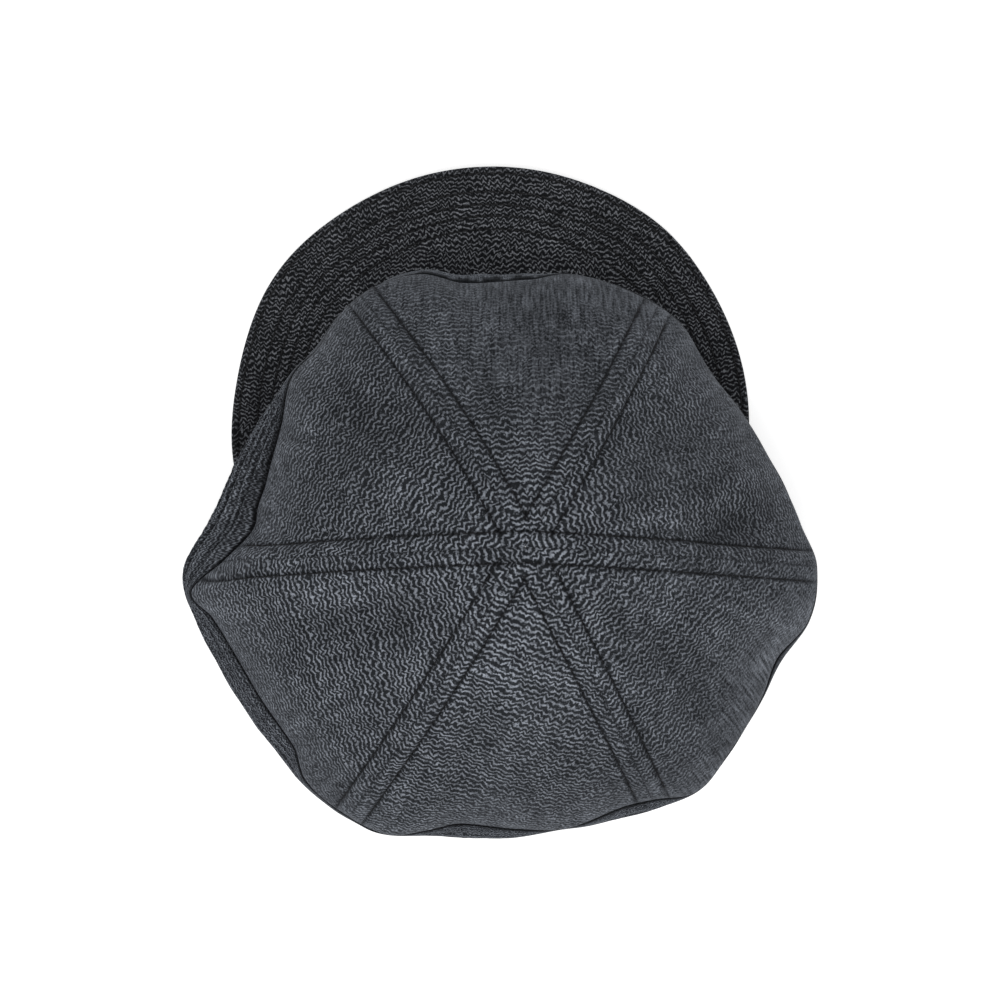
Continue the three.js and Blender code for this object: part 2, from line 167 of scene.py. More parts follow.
def woven_cloth(name, dark, light, row_pitch, zigzag, slopes, open_at, full_at, napped, seed):
    """Cotton woven in zigzag rows: light yarn over black, matt, with a short soft nap.

    Lengths are millimetres on the flat cloth: row_pitch from one light row to the next, zigzag
    from one point of the zigzag to the next. slopes are its least and most steepness, and open_at
    and full_at say how much of each row is light.
    """
    material = bpy.data.materials.new(name)
    material.use_nodes = True
    nodes = material.node_tree.nodes
    links = material.node_tree.links
    shader = nodes["Principled BSDF"]

    def put(kind, **values):
        node = nodes.new(kind)
        for key, value in values.items():
            setattr(node, key, value)
        return node

    def feed(node, socket, value):
        if isinstance(value, bpy.types.NodeSocket):
            links.new(value, node.inputs[socket])
        else:
            node.inputs[socket].default_value = value

    def maths(kind, a, b=0.0, c=0.0):
        node = put("ShaderNodeMath", operation=kind)
        for socket, value in enumerate((a, b, c)):
            feed(node, socket, value)
        return node.outputs[0]

    def sway(value, unevenness, amount):
        """The value, moved up to half the amount either way by a noise."""
        return maths("MULTIPLY_ADD", maths("SUBTRACT", unevenness, 0.5), amount, value)

    def noise(place, scale, detail, rough=0.5):
        node = put("ShaderNodeTexNoise", noise_dimensions="2D")
        feed(node, "Vector", place)
        feed(node, "Scale", scale)
        feed(node, "Detail", detail)
        feed(node, "Roughness", rough)
        return node

    def ramp(value, low, high, out_low=0.0, out_high=1.0):
        node = put("ShaderNodeMapRange", interpolation_type="SMOOTHSTEP")
        for socket, number in enumerate((value, low, high, out_low, out_high)):
            feed(node, socket, number)
        return node.outputs[0]

    place = put("ShaderNodeUVMap", uv_map="weave").outputs[0]
    moved = put("ShaderNodeVectorMath", operation="ADD")
    feed(moved, 0, place)
    feed(moved, 1, (seed * 37.0, seed * 19.0, 0.0))
    place = moved.outputs[0]
    parts = put("ShaderNodeSeparateXYZ")
    feed(parts, 0, place)
    along, across = parts.outputs[0], parts.outputs[1]

    # The yarns wander: slow drifts bend the rows, quicker ones make the zigzag uneven.
    drift = put("ShaderNodeSeparateColor")
    feed(drift, 0, noise(place, 0.05, 1.0).outputs["Color"])
    jitter = put("ShaderNodeSeparateColor")
    feed(jitter, 0, noise(place, 0.2, 1.0).outputs["Color"])
    across = sway(across, drift.outputs[0], 5.5)
    along = sway(along, drift.outputs[1], 9.0)
    along = sway(along, jitter.outputs[1], 2.4)
    across = sway(across, jitter.outputs[0], 1.3)
    twitch = put("ShaderNodeSeparateColor")
    feed(twitch, 0, noise(place, 1.15 / row_pitch, 1.0).outputs["Color"])
    across = sway(across, twitch.outputs[0], 0.3 * row_pitch)
    along = sway(along, twitch.outputs[1], 0.24 * row_pitch)

    fold = maths("PINGPONG", along, zigzag / 2)
    steep = ramp(jitter.outputs[2], 0.3, 0.7, *slopes)
    bent = maths("MULTIPLY_ADD", fold, steep, across)
    row = maths("PINGPONG", bent, row_pitch / 2)
    height = maths("DIVIDE", row, row_pitch / 2)

    # Each light line is a string of short floats, and here and there the black shows through.
    bead = noise(place, 2.5 / row_pitch, 2.0, 0.6).outputs["Fac"]
    level = sway(height, bead, 1.7)
    cover = ramp(level, open_at, full_at)
    cover = maths("MULTIPLY", cover, ramp(twitch.outputs[2], 0.36, 0.58, 0.6, 1.1))

    # Where the nap lies thick the lines blur, and fine streaks run across the rows.
    nap = put("ShaderNodeAttribute", attribute_name="nap").outputs["Fac"]
    stretched = put("ShaderNodeVectorMath", operation="MULTIPLY")
    feed(stretched, 0, place)
    feed(stretched, 1, (1.0, 0.09, 1.0))
    streak = noise(stretched.outputs[0], 0.8, 2.0, 0.6).outputs["Fac"]
    even = sway(napped, bead, 1.1)
    even = sway(even, streak, 1.5)
    even = maths("MAXIMUM", even, 0.0)
    blend = put("ShaderNodeMix", data_type="FLOAT")
    feed(blend, 0, nap)
    feed(blend, 2, cover)
    feed(blend, 3, even)
    cover = blend.outputs[0]

    # The tone that each piece gives its points scales the cloth's colour: painted shade and
    # painted light, with slight random changes of tone.
    tone = put("ShaderNodeAttribute", attribute_name="tone").outputs["Fac"]
    cloth = put("ShaderNodeMix", data_type="RGBA")
    feed(cloth, 0, cover)
    feed(cloth, 6, (*dark, 1))
    feed(cloth, 7, (*light, 1))
    shade = put("ShaderNodeMix", data_type="RGBA", blend_type="MULTIPLY")
    feed(shade, 0, 1.0)
    feed(shade, 6, cloth.outputs[2])
    blotch = noise(place, 0.035, 2.0).outputs["Fac"]
    mottle = noise(place, 0.13, 1.0).outputs["Fac"]
    level = maths("MULTIPLY", ramp(blotch, 0.3, 0.7, 0.9, 1.1), tone)
    level = maths("MULTIPLY", level, ramp(mottle, 0.25, 0.75, 0.84, 1.16))
    grey = put("ShaderNodeCombineColor")
    for socket in range(3):
        feed(grey, socket, level)
    feed(shade, 7, grey.outputs[0])
    links.new(shade.outputs[2], shader.inputs["Base Color"])

    fibre = noise(place, 3.2, 2.0, 0.7).outputs["Fac"]
    relief = maths("MULTIPLY_ADD", fibre, 0.3, cover)
    bump = put("ShaderNodeBump")
    bump.inputs["Strength"].default_value = 0.45
    bump.inputs["Distance"].default_value = 0.0003
    feed(bump, "Height", relief)
    links.new(bump.outputs[0], shader.inputs["Normal"])
    shader.inputs["Roughness"].default_value = 0.92
    shader.inputs["Specular IOR Level"].default_value = 0.06
    shader.inputs["Sheen Weight"].default_value = 0.08
    shader.inputs["Sheen Roughness"].default_value = 0.55
    shader.inputs["Sheen Tint"].default_value = (0.75, 0.8, 0.9, 1)
    return material


crown_cloth = woven_cloth(
    "crown_weave",
    dark=(0.0105, 0.0118, 0.0138),
    light=(0.185, 0.2, 0.228),
    row_pitch=2.5,
    zigzag=4.1,
    slopes=(0.35, 0.95),
    open_at=0.38,
    full_at=1.0,
    napped=0.3,
    seed=1,
)


def closed_loop(section, columns):
    """Columns of a ring from its section, a function of the angle that gives rows of points."""
    angles = np.linspace(0, 2 * math.pi, columns, endpoint=False)
    return np.stack([section(angle) for angle in angles], axis=1)


def band_section(angle):
    """Once round the band's wall: down its outer face, in, up its inner face and back."""
    down = np.linspace(1, 0, 40)
    from_edge = np.minimum(down, 1 - down) * band_height
    turned = band_turned_edge * (1 - ease(from_edge / 0.0012))
    groove = band_groove * bump_at(from_edge - band_stitch_inset, 0.0008)
    swell = band_swell * ease((from_edge - band_stitch_inset) / 0.006)
    ripple = band_ripple * math.sin(angle * 61) * bump_at(from_edge - band_stitch_inset, 0.004)
    outer = band_point(angle, turned + groove - swell - ripple + band_fullness, down)
    inner = band_point(angle, band_wall - turned - groove, down)
    around = [np.stack(outer, axis=1), np.stack(inner, axis=1)[::-1]]
    return np.concatenate([*around, around[0][:1]])


def girth_place(grid, offset=0.0):
    """Where each point of a ring lies on the flat cloth: round the ring, and down its section."""
    middle = grid.mean(axis=0)
    step = np.linalg.norm(np.diff(middle, axis=0, append=middle[:1]), axis=1)
    round_it = np.concatenate([[0], np.cumsum(step)[:-1]])
    fall = np.linalg.norm(np.diff(grid, axis=0), axis=2).mean(axis=1)
    down = np.concatenate([[0], np.cumsum(fall)]) + offset
    u, v = np.meshgrid(round_it, down)
    return np.stack([u, v], axis=2) * 1000


# The weave looks this much closer on the stretched band than on the crown's top.
band_closeness = 1.3
band_grid = closed_loop(band_section, 560)
band_marks = {
    "nap": [np.full(band_grid.shape[:2], 0.25)],
    "tone": [np.full(band_grid.shape[:2], 0.95)],
}
new_piece(
    "headband_cloth", [band_grid], [band_closeness * girth_place(band_grid)], band_marks, True,
    crown_cloth, ["headband"],
)

# The crown's top is six wedges of the same cloth, cut to meet at one point and joined by flat
# seams. It is bigger than the head, so it stands out past the band in a soft, uneven puff, and
# it falls steeply to the rim seam. The cloth is thin and limp, so long soft folds run down it.
cloth_wall = 0.0012
side_overhang = 0.0316
end_overhang = 0.0151
crown_half_width = band_half_width + side_overhang
crown_half_length = band_half_length + end_overhang
rim_rise = 0.017
dome_height = 0.049
apex = Vector((-0.013, 0.0012, band_height + rim_rise + dome_height))
join_gap = 0.0004
foot_lap = 0.0003
stitch_offset = 0.0061
fold_depth = 0.005
crease_depth = 0.0008
tip_radius = 0.0002

# The curve of the top from apex to rim: the shoulder says how long it stays flat, and the roll
# how roundly it then falls.
dome_shoulder = 2.2
dome_roll = 0.72

# Each seam by its angle round the apex at the rim, how far its middle bows sideways, the panel
# that runs on from it, and the way that panel's rows of weave face.
seams = [
    {"panel": "back_left", "angle": 3.2, "bow": -0.0005, "grain": 20},
    {"panel": "back", "angle": 57, "bow": 0.0014, "grain": 67},
    {"panel": "back_right", "angle": 116.8, "bow": 0.0005, "grain": 134},
    {"panel": "front_right", "angle": 175.9, "bow": 0.0006, "grain": 194},
    {"panel": "front", "angle": 240.9, "bow": -0.0014, "grain": 271},
    {"panel": "front_left", "angle": 303.2, "bow": -0.0027, "grain": 325},
]

# Sections round the rim, by angle round the apex.
# reach: rim from the apex, as a share of the crown's half size in that direction
# rise: rim above the headband, as a share of rim_rise
# puff: how far the side crown stands out past the rim, as a share of side_puff
# fall: how much longer the top stays flat before it falls to the rim
rim_columns = ("angle", "reach", "rise", "puff", "fall")
rim_sections = [
    (3, 0.955, 1.05, 0.8, 0.1),
    (8, 1.068, 0.95, 0.17, 0.1),
    (13, 1.022, 0.92, 0.36, 0.1),
    (20, 0.997, 0.9, 0.43, 0.2),
    (28, 0.995, 0.88, 0.42, 0.3),
    (41, 1.022, 0.9, 0.37, 0.2),
    (47, 1.085, 0.9, 0.12, 0.2),
    (56, 1.112, 0.92, 0.08, 0.1),
    (65, 1.115, 0.95, 0.02, 0.1),
    (71, 1.06, 0.95, 0.13, 0.3),
    (77, 1.01, 0.9, 0.3, 0.4),
    (88, 1.008, 0.9, 0.2, 0.5),
    (98, 1.016, 0.9, 0.04, 0.5),
    (110, 0.981, 0.95, 0.24, 0.3),
    (117, 0.992, 1.0, 0.22, 0.1),
    (125, 1.032, 0.95, 0.03, 0.1),
    (135, 0.98, 0.9, 0.03, 0.2),
    (148, 0.925, 0.85, 0.04, 0.5),
    (156, 0.897, 0.85, 0.12, 0.6),
    (165, 0.938, 0.95, 0.04, 0.3),
    (176, 0.928, 1.0, 0.02, 0.1),
    (184, 0.88, 1.0, 0.02, 0.3),
    (199, 0.836, 0.9, 0.02, 0.7),
    (212, 0.835, 0.9, 0.02, 0.8),
    (223, 0.852, 0.95, 0.02, 0.7),
    (237, 0.935, 1.05, 0.02, 0.5),
    (252, 0.963, 1.0, 0.02, 0.8),
    (261, 0.968, 1.0, 0.02, 1.0),
    (269, 0.938, 0.95, 0.13, 1.1),
    (283, 0.945, 0.95, 0.19, 1.1),
    (291, 1.012, 1.0, 0.1, 0.8),
    (301, 1.028, 1.1, 0.02, 0.5),
    (310, 0.997, 1.1, 0.02, 0.5),
    (316, 0.955, 1.15, 0.06, 0.6),
    (324, 0.945, 1.2, 0.08, 0.7),
    (334, 0.875, 1.3, 0.45, 0.8),
    (346, 0.845, 1.3, 0.75, 0.6),
    (351.5, 0.852, 1.25, 0.8, 0.45),
    (357, 0.862, 1.2, 0.97, 0.3),
]

# Soft folds in the top: start and end as shares of the rim's reach, angle at the start and at the
# end, half width in degrees, and depth as a share of fold_depth. A depth below zero is a ridge.
crown_folds = [
    (0.35, 0.98, 319, 327, 7, 0.6),
    (0.35, 0.8, 334, 336, 6, -0.35),
    (0.45, 1.0, 183, 189, 6, 0.7),
    (0.4, 1.0, 146, 137, 8, 1.0),
    (0.3, 0.85, 33, 24, 9, 0.6),
    (0.35, 0.85, 284, 283, 9, 0.6),
    (0.4, 0.9, 254, 252, 7, 0.5),
    (0.5, 1.0, 76, 74, 8, 0.5),
    (0.4, 0.95, 212, 214, 8, 0.5),
    (0.2, 0.7, 94, 94, 12, -0.4),
]


def around_rim(column, degrees):
    """One column of the rim's table at any angle, on a smooth closed curve."""
    angles = np.array([row[0] for row in rim_sections], float)
    values = np.array([row[rim_columns.index(column)] for row in rim_sections], float)
    angles = np.concatenate([angles[-2:] - 360, angles, angles[:2] + 360])
    values = np.concatenate([values[-2:], values, values[:2]])
    angle = np.mod(degrees, 360)
    angle = np.where(angle < angles[1], angle + 360, angle)
    at = np.clip(np.searchsorted(angles, angle, side="right") - 1, 1, len(angles) - 3)
    span = angles[at + 1] - angles[at]
    t = (angle - angles[at]) / span
    out_of = span * (values[at + 1] - values[at - 1]) / (angles[at + 1] - angles[at - 1])
    into = span * (values[at + 2] - values[at]) / (angles[at + 2] - angles[at])
    start = (2 * t**3 - 3 * t**2 + 1) * values[at] + (t**3 - 2 * t**2 + t) * out_of
    return start + (3 * t**2 - 2 * t**3) * values[at + 1] + (t**3 - t**2) * into


def rim_point(degrees):
    angle = np.radians(degrees)
    half = 1 / np.hypot(np.cos(angle) / crown_half_width, np.sin(angle) / crown_half_length)
    reach = half * around_rim("reach", degrees)
    x = apex.x + reach * np.cos(angle)
    y = apex.y + reach * np.sin(angle)
    foot = band_point(np.arctan2(y, x), 0, 1)[2]
    return np.stack([x, y, foot + rim_rise * around_rim("rise", degrees)], axis=-1)


def angle_between(a, b):
    return np.mod(a - b + 180, 360) - 180


def top_point(degrees, share):
    """The crown's top with its folds but no seams, at a share of the way from apex to rim."""
    rim = rim_point(degrees)
    shoulder = dome_shoulder + around_rim("fall", degrees)
    height = np.maximum(0, 1 - share**shoulder) ** dome_roll
    drop = np.zeros(np.broadcast(degrees, share).shape)
    for start, end, angle_start, angle_end, half_width, depth in crown_folds:
        along = np.clip((share - start) / (end - start), 0, 1)
        off = angle_between(degrees, mix(angle_start, angle_end, along)) / half_width
        drop = drop + depth * fold_depth * np.exp(-off * off) * np.sin(math.pi * along) ** 1.5
    x = mix(apex.x, rim[..., 0], share)
    y = mix(apex.y, rim[..., 1], share)
    return np.stack([x, y, mix(rim[..., 2], apex.z, height) - drop], axis=-1)


# Light creases in the top, with the same columns as the folds. A crease is a narrow hollow, and
# one with a depth below zero is a soft ridge; both are also painted into the colour, as painted
# shade and painted highlight.
creases = [
    (0.5, 1.02, 180, 190.5, 3.2, 1.5),
    (0.48, 1.0, 144, 137, 4.5, 0.8),
    (0.42, 0.8, 285, 280, 6, 0.7),
    (0.5, 1.0, 246, 251, 3.5, 0.6),
    (0.45, 0.85, 256, 268, 6, 0.35),
    (0.4, 1.0, 317, 325, 5, 0.7),
    (0.35, 0.95, 25, 19, 5, 0.7),
    (0.25, 0.6, 36, 30, 7, 0.45),
    (0.25, 0.5, 150, 138, 8, 0.45),
    (0.48, 0.64, 177, 174, 4, 0.8),
    (0.5, 0.95, 197, 201, 3, 0.35),
    (0.6, 0.98, 211, 213, 3, 0.45),
    (0.3, 0.7, 206, 204, 5, 0.3),
    (0.5, 0.9, 76, 72, 5, 0.35),
    (0.55, 0.98, 101, 105, 4, 0.35),
    (0.6, 0.98, 228, 226, 3, 0.3),
    (0.3, 0.7, 354, 350, 4, 0.3),
    (0.3, 0.75, 11, 14, 5, -0.7),
    (0.28, 0.6, 44, 47, 5, -0.6),
    (0.25, 0.5, 128, 135, 7, -0.45),
    (0.35, 0.65, 191, 194, 4, -0.5),
    (0.35, 0.7, 331, 338, 8, -0.6),
    (0.8, 1.08, 329, 343, 9, -0.9),
    (0.6, 1.0, 161, 166, 5, -0.45),
    (0.35, 0.6, 217, 222, 6, -0.3),
    (0.25, 0.45, 262, 278, 9, -0.35),
    (0.55, 1.0, 31, 38, 4, -0.35),
    (0.7, 1.05, 62, 66, 4, -0.4),
    (0.6, 1.0, 193, 198, 3, -0.4),
]


def creasing(degrees, share):
    """About 1 in the bottom of a plain crease, with the fine rays that pull from the seams."""
    total = np.zeros(np.broadcast(degrees, share).shape)
    for start, end, angle_start, angle_end, half_width, depth in creases:
        along = np.clip((share - start) / (end - start), 0, 1)
        off = angle_between(degrees, mix(angle_start, angle_end, along)) / half_width
        total = total + depth * np.exp(-off * off) * np.sin(math.pi * along) ** 0.8
    turn = np.radians(degrees)
    rays = 0
    for count, lean, phase in ((31, 3, 0), (43, -4, 1), (59, 5, 2), (83, -3, 4), (113, 4, 5)):
        strength = 0.5 + 0.5 * np.sin((count % 7 + 2) * turn + 3 * share * lean + phase)
        rays = rays + strength * np.sin(count * turn + lean * share * 1.5 + phase)
    return total + 0.16 * rays * ease((share - 0.15) / 0.35)


def unit(vectors):
    return vectors / np.maximum(np.linalg.norm(vectors, axis=-1, keepdims=True), 1e-12)


def top_normal(degrees, share):
    near = np.maximum(share - 0.004, 0.004)
    far = np.minimum(share + 0.004, 0.999)
    outward = top_point(degrees, far) - top_point(degrees, near)
    sideways = top_point(degrees + 0.5, share) - top_point(degrees - 0.5, share)
    return unit(np.cross(outward, sideways))


def rim_radius(degrees):
    rim = rim_point(degrees)
    return np.hypot(rim[..., 0] - apex.x, rim[..., 1] - apex.y)


def seam_angle(seam, share):
    aside = seam["bow"] * np.sin(math.pi * share) / (share * rim_radius(seam["angle"]))
    return seam["angle"] + np.degrees(aside)


def runs_through(seam):
    """True for the two seams that make one line from side to side over the middle."""
    return seam["panel"] in ("back_left", "front_right")


def beside_seams(degrees, share):
    """For each seam in turn: how far a point lies off it, how far along it, and its fade."""
    radius = share * rim_radius(degrees)
    for seam in seams:
        aside = np.radians(angle_between(degrees, seam_angle(seam, share)))
        off = np.where(np.cos(aside) > 0, np.abs(radius * np.sin(aside)), 1)
        along = radius * np.cos(aside)
        yield off, along, 1 if runs_through(seam) else ease((along - stitch_offset) / 0.004)


# The low relief along each seam: its padded middle, the dip at the join, the stitch grooves, and
# the small puckers and flares that the stitches pull.
seam_puff = 0.0008
join_dip = 0.0006
join_half_width = 0.0005
groove_depth = 0.0009
pucker_height = 0.0003
pucker_length = 0.0052
flare_height = 0.00035
flare_length = 0.0075


def seam_relief(degrees, share):
    """Height of the cloth over the plain dome: puffed seams, stitch grooves and puckers."""
    relief = np.zeros(np.broadcast(degrees, share).shape)
    for number, (off, along, fade) in enumerate(beside_seams(degrees, share)):
        puff = seam_puff * np.clip(1 - (off / stitch_offset) ** 2, 0, 1)
        join = -join_dip * bump_at(off, join_half_width)
        groove = -groove_depth * bump_at(off - stitch_offset, 0.0006)
        beside = bump_at(off - stitch_offset - 0.003, 0.003)
        pucker = pucker_height * np.sin(2 * math.pi * along / pucker_length + number) * beside
        flare = flare_height * np.sin(2 * math.pi * along / flare_length + 2 * number)
        flare = flare * bump_at(off - stitch_offset / 2, 0.0022)
        relief = relief + fade * (puff + join + groove + pucker + flare)
    return relief


def seam_painted_shade(degrees, share):
    """Painted shade: how much of the cloth's colour is kept, little in the stitch grooves and a
    bit less at the join.
    """
    shade = np.ones(np.broadcast(degrees, share).shape)
    for off, along, fade in beside_seams(degrees, share):
        pull = 0.72 + 0.2 * np.sin(2 * math.pi * along / 0.0058 + 3 * np.sin(along * 160))
        groove = pull * bump_at(off - stitch_offset, 0.00075)
        groove = groove + 0.25 * bump_at(off, join_half_width)
        shade = shade * (1 - fade * groove)
    return shade


def top_relief(degrees, share, base):
    """Height over the plain dome of the seams, the light creases and the soft ripples."""
    turn = np.radians(degrees)
    ripple = 0.0005 * waves(base[..., 0], base[..., 1], 0.034, 11)
    ripple = ripple + 0.00016 * waves(base[..., 0], base[..., 1], 0.011, 12)
    rim_waves = 0.00045 * np.sin(turn * 23 + 3 * np.sin(turn * 5)) * ease((share - 0.6) / 0.3)
    creased = crease_depth * creasing(degrees, share)
    return seam_relief(degrees, share) + ripple + rim_waves - creased


def rim_mitre(degrees):
    """From the rim's outer edge to its inner one, where the top and the side crown meet."""
    section, outward, first_normal = side_section(degrees)
    inward = -unit(outward + first_normal)
    length = cloth_wall / -np.sum(inward * outward, axis=-1, keepdims=True)
    return inward * length


# The side crown's section, needed here because it sets how the rim is mitred. Its widest point
# lies widest_drop of the way down from the rim, and it has more rows of points above that.
side_puff = 0.02
least_puff = 0.0004
widest_drop = 0.35
upper_rows = 56
lower_rows = 22


def bezier(points, share):
    a, b, c, d = points
    s = share[:, None]
    place = a * (1 - s) ** 3 + 3 * b * s * (1 - s) ** 2 + 3 * c * s**2 * (1 - s) + d * s**3
    slope = 3 * (b - a) * (1 - s) ** 2 + 6 * (c - b) * s * (1 - s) + 3 * (d - c) * s**2
    return place, slope


def side_section(degrees):
    """The side crown at one angle: out from the rim, over its widest point and in to the band."""
    rim = rim_point(degrees)
    angle = math.atan2(rim[1] / band_half_length, rim[0] / band_half_width)
    outward = np.array([math.cos(angle), math.sin(angle), 0])
    up = np.array([0, 0, 1.0])
    foot = np.array(band_point(angle, (band_wall - cloth_wall) / 2, 1)) - up * foot_lap
    start = rim - up * join_gap
    rise = start[2] - foot[2]
    puff = max(side_puff * float(around_rim("puff", degrees)), least_puff)
    widest = start + outward * puff - up * widest_drop * rise
    reach = float(np.dot(widest - foot, outward))
    over = start + outward * 0.55 * puff
    shoulder = widest + up * 0.55 * widest_drop * rise
    under = widest - up * 0.35 * rise
    tuck = foot + outward * 0.4 * reach + up * 0.15 * rise
    upper, upper_slope = bezier((start, over, shoulder, widest), np.linspace(0, 1, upper_rows + 1))
    lower, lower_slope = bezier((widest, under, tuck, foot), np.linspace(0, 1, lower_rows + 1)[1:])
    points = np.concatenate([upper, lower])
    slopes = np.concatenate([upper_slope, lower_slope])
    across = np.array([-outward[1], outward[0], 0])
    normals = unit(np.cross(slopes, across))
    return (points, normals), outward, normals[0]


def mitres(degrees):
    return np.stack([rim_mitre(angle) for angle in degrees])


def panel_columns(start, end, start_radius, end_radius):
    """Angles across a panel: close together beside each seam and even between."""
    most = np.linspace(0.0, 0.3, len(near_seam) + 1)[1:] * (end - start)
    first = np.minimum(np.degrees(np.arcsin(np.minimum(near_seam / start_radius, 0.999))), most)
    last = np.minimum(np.degrees(np.arcsin(np.minimum(near_seam / end_radius, 0.999))), most)
    middle = np.linspace(start + first[-1], end - last[-1], middle_steps + 2)[1:-1]
    return np.concatenate([start + first, middle, (end - last)[::-1]])


near_seam = np.concatenate([
    [0, 0.0005, 0.001, 0.0016, 0.0024, 0.0033, 0.0042, 0.0049],
    np.arange(0.0054, 0.0069, 0.0003),
    [0.0074, 0.0082, 0.0092, 0.0104],
])
panel_rows = 120
middle_steps = 64

# Near the rim, where the top falls away, the relief fades over rim_fade so that the edges meet.
rim_fade = 0.003

# The rows of weave close up a bit towards the rim, and each panel shows its own part of the cloth.
rim_closing = 0.18
panel_shift = 61


def crown_panel(number):
    """One wedge of the crown: its outer face, its inner face and the edges between them."""
    seam = seams[number]
    following = seams[(number + 1) % len(seams)]
    lap = 360 if number + 1 == len(seams) else 0
    middle_angle = (seam["angle"] + following["angle"] + lap) / 2
    middle_radius = float(rim_radius(middle_angle))
    shares = 1 - (1 - np.linspace(0, 1, panel_rows + 1)) ** 1.35
    shares = mix(tip_radius / middle_radius, 1, shares)
    degrees = np.stack([
        panel_columns(
            float(seam_angle(seam, share)),
            float(seam_angle(following, share)) + lap,
            float(share * rim_radius(seam["angle"])),
            float(share * rim_radius(following["angle"])),
        )
        for share in shares
    ])
    share = np.repeat(shares[:, None], degrees.shape[1], axis=1)
    base = top_point(degrees, share)
    normal = top_normal(degrees, share)
    at_rim = ease((1 - share) * middle_radius / rim_fade)
    relief = top_relief(degrees, share, base) * at_rim
    outer = base + normal * relief[..., None]
    inner = outer - normal * cloth_wall
    inner[-1] = outer[-1] + mitres(degrees[-1])

    # Where each point lies on the flat cloth: true lengths from the apex and across the wedge.
    step = np.linalg.norm(np.diff(base, axis=0), axis=2)
    length = np.concatenate([np.full((1, step.shape[1]), tip_radius), step]).cumsum(axis=0)
    radius = np.hypot(base[..., 0] - apex.x, base[..., 1] - apex.y)
    turned = np.radians(degrees - middle_angle) * radius / length
    heading = turned + math.radians(middle_angle - seam["grain"])
    place = np.stack([length * np.sin(heading), length * np.cos(heading)], axis=2) * 1000
    place = place * (1 + rim_closing * share[..., None]) + number * panel_shift
    nap = rim_nap(degrees, share)
    tone = crown_painted_shade_and_tone(degrees, share)
    marks = {"nap": both_faces(nap, nap), "tone": both_faces(tone, tone)}
    new_piece(
        "crown_cloth_" + seam["panel"], both_faces(outer, inner), both_faces(place, place),
        marks, False, crown_cloth, ["crown_panel_" + seam["panel"]],
    )


def rim_nap(degrees, share):
    """How far the zigzag is blurred by the nap: most along the rim and over the brow."""
    brow = bump_at(angle_between(degrees, 270), 24) * ease((share - 0.4) / 0.3)
    patches = waves(np.radians(degrees) * 0.1, share * 0.1, 0.06, 31)
    right = 0.5 - 0.5 * np.cos(np.radians(degrees - 20))
    nap = 0.02 + 0.2 * right * ease((share - 0.15) / 0.4) + 0.32 * ease((share - 0.8) / 0.2)
    # The nap is thicker at the right back, towards the rim.
    right_back_nap = bump_at(angle_between(degrees, 146), 22) * ease((share - 0.55) / 0.4)
    return np.clip((nap + 0.25 * right_back_nap) * (1 + 0.5 * patches) + 0.5 * brow, 0, 0.85)


# Painted light and shade on the crown's outer half, over its folds and ridges: angle, half width
# in degrees, and the change of shade.
painted_shade_changes = (
    (13, 15, 0.2),
    (41, 12, -0.06),
    (133, 18, -0.16),
    (163, 10, 0.06),
    (188, 15, -0.16),
    (208, 10, -0.06),
    (341, 15, -0.08),
)


def crown_painted_shade_and_tone(degrees, share):
    """Painted light and shade over the crown: lighter at the back and a little at the rim, with
    random patches.
    """
    turn = np.radians(degrees)
    # Painted light at the back and painted shade at the front, from the way the light falls, and a
    # faint painted sheen at the rim.
    back = bump_at(angle_between(degrees, 85), 50) * bump_at(share - 0.38, 0.3)
    front = bump_at(angle_between(degrees, 265), 75) * ease(share / 0.5)
    rim = ease((share - 0.85) / 0.12)
    patches = waves(share * np.cos(turn), share * np.sin(turn), 0.5, 33)
    out = ease((share - 0.25) / 0.35)
    tone = 1.08 + 0.34 * back - 0.19 * front - 0.12 * out + 0.02 * rim + 0.07 * patches
    for angle, half_width, change in painted_shade_changes:
        tone = tone + change * out * bump_at(angle_between(degrees, angle), half_width)
    # Painted shade in the creases and painted highlight on their ridges.
    tone = tone * np.exp(-0.32 * creasing(degrees, share))
    return tone * seam_painted_shade(degrees, share)


for number in range(len(seams)):
    crown_panel(number)

# The side crown is one strip of the same cloth between the rim seam and the headband. It swells
# out past the rim where the top has slipped back, most of all at the left front, and long limp
# folds run round it there.
side_closeness = 2.4
side_fold_half_width = 0.032

# Each long fold: its share of the way from the rim to the widest point, its depth, and the phase
# of the waves that its line makes.
side_folds = (
    (0.13, 0.0009, 2.0),
    (0.3, 0.0016, 0.5),
    (0.46, 0.0012, 5.0),
    (0.62, 0.0020, 1.0),
    (0.8, 0.0014, 3.0),
)


def once_round(outer, inner):
    """One grid that goes down the outer face, up the inner one and back to its start."""
    return np.concatenate([outer, inner[::-1], outer[:1]])


